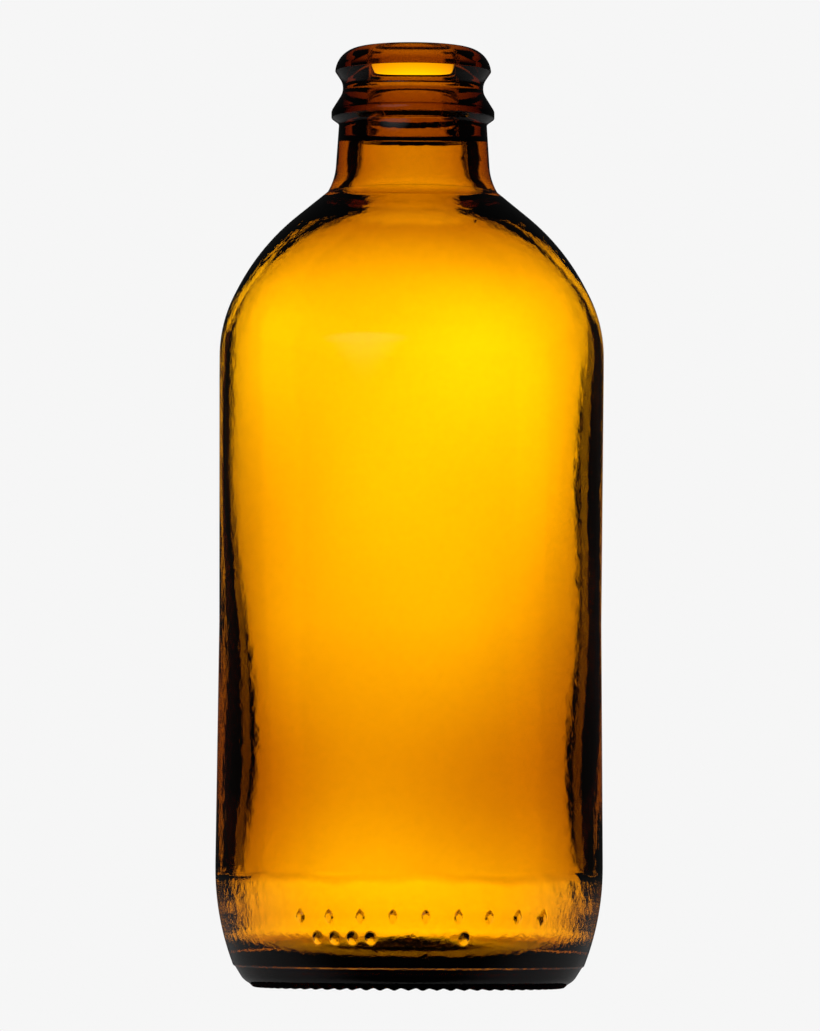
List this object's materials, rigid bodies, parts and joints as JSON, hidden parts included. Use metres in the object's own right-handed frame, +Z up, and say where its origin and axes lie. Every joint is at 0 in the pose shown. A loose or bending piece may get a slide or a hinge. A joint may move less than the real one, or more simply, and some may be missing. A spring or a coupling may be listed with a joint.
{
  "type": "glass bottle",
  "caption": "Empty amber glass stubby bottle with a round shoulder, short neck, crown finish, knurled base ring and open mouth.",
  "frame": {"origin": "centre of the circle that the bottle stands on", "axes": "+Z up the bottle's axis to the mouth, -Y towards the side with the raised dots"},
  "size_m": [0.0658, 0.0658, 0.1602],
  "materials": {
    "amber_glass": "clear amber soda-lime glass, fire-polished and slightly wavy"
  },
  "bodies": {
    "root": {"glass_bottle": "amber_glass"}
  },
  "joints": []
}
